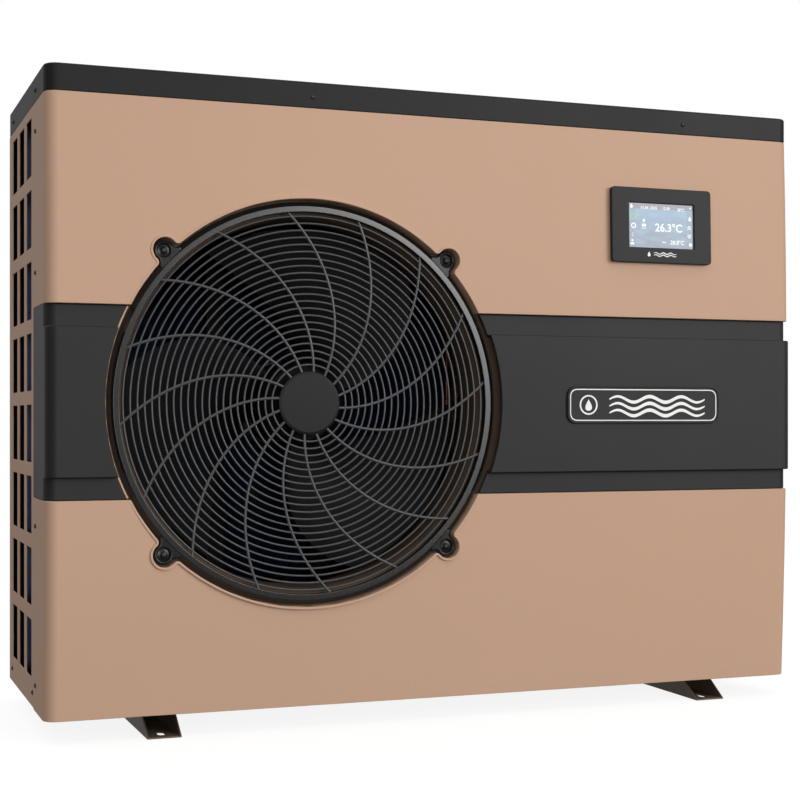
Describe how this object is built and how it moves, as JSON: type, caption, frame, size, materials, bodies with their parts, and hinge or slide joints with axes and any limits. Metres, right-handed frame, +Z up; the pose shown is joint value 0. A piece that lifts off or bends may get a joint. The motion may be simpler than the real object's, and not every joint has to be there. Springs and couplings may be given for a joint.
{
  "type": "pool heat pump",
  "caption": "Outdoor air-to-water pool heat pump with one horizontal fan, round guard, touch display and side water unions.",
  "frame": {"origin": "centre of the overall footprint, on the floor under the feet", "axes": "+Z up, the fan front faces -Y, +X to the viewer's right where the water unions are"},
  "size_m": [1.192, 0.3944, 0.886],
  "materials": {
    "copper_paint": "satin warm copper-beige paint",
    "dark_plastic": "satin dark grey",
    "black_plastic": "satin black",
    "dark_paint": "satin dark grey paint",
    "brown_paint": "satin dark brown paint",
    "zinc_steel": "zinc plated",
    "black_enamel": "gloss black enamel",
    "coil_fins": "blue hydrophilic coating",
    "copper_pipe": "bare copper",
    "brass": "machined",
    "grey_plastic": "moulded grey",
    "white_plastic": "white",
    "rubber": "matt black rubber",
    "circuit_board": "green solder mask",
    "screen": "glossy display",
    "clear_glass": "clear"
  },
  "bodies": {
    "casing": {"upper_front_panel": "copper_paint", "lower_front_panel": "copper_paint", "band_left": "dark_plastic", "band_right": "dark_plastic", "name_badge": "dark_plastic", "air_ring": "copper_paint", "fan_guard": "black_plastic", "guard_screw_1": "zinc_steel", "guard_screw_2": "zinc_steel", "guard_screw_3": "zinc_steel", "guard_screw_4": "zinc_steel", "fan_motor": "black_enamel", "motor_bracket": "zinc_steel", "top_cover": "dark_paint", "lid_screw_1": "black_enamel", "lid_screw_2": "black_enamel", "left_side_grille": "copper_paint", "rear_grille": "copper_paint", "rear_service_panel": "copper_paint", "right_side_panel": "copper_paint", "base_pan": "brown_paint", "foot_left": "brown_paint", "foot_right": "brown_paint", "drain_spout": "black_plastic", "partition_plate": "zinc_steel", "evaporator_coil": "coil_fins", "coil_header": "copper_pipe", "compressor": "black_enamel", "compressor_grommet_1": "rubber", "compressor_grommet_2": "rubber", "compressor_grommet_3": "rubber", "suction_accumulator": "black_enamel", "four_way_valve": "brass", "discharge_pipe": "copper_pipe", "suction_pipe": "copper_pipe", "exchanger_vessel": "grey_plastic", "water_inlet_stub": "black_plastic", "water_outlet_stub": "black_plastic", "inlet_union_tail": "grey_plastic", "outlet_union_tail": "grey_plastic", "expansion_valve": "brass", "liquid_pipe": "copper_pipe", "electrical_box": "zinc_steel", "control_board": "circuit_board", "terminal_block": "black_plastic", "controller_bezel": "dark_plastic", "display_screen": "screen", "controller_housing": "black_plastic", "pressure_gauge": "black_plastic", "gauge_lens": "clear_glass", "wiring_cover": "black_plastic", "power_cable_gland": "black_plastic", "signal_cable_gland": "black_plastic"},
    "fan": {"fan_propeller": "black_plastic", "motor_shaft": "zinc_steel", "fan_nut": "zinc_steel"},
    "inlet_nut": {"inlet_union_nut": "black_plastic"},
    "outlet_nut": {"outlet_union_nut": "black_plastic"},
    "needle": {"gauge_needle": "white_plastic"}
  },
  "joints": [
    {"name": "fan_spin", "type": "hinge", "parent": "casing", "child": "fan", "pos_m": [-0.2375, -0.10285, 0.44565], "axis": [0, -1, 0], "continuous": true},
    {"name": "inlet_nut_turn", "type": "hinge", "parent": "casing", "child": "inlet_nut", "pos_m": [0.552, 0.07915, 0.16], "axis": [1, 0, 0], "continuous": true},
    {"name": "outlet_nut_turn", "type": "hinge", "parent": "casing", "child": "outlet_nut", "pos_m": [0.552, 0.07915, 0.5], "axis": [1, 0, 0], "continuous": true},
    {"name": "gauge_sweep", "type": "hinge", "parent": "casing", "child": "needle", "pos_m": [0.54, -0.00785, 0.72], "axis": [-1, 0, 0], "range_deg": [0, 270], "stiffness_Nm_per_rad": 0.004}
  ]
}
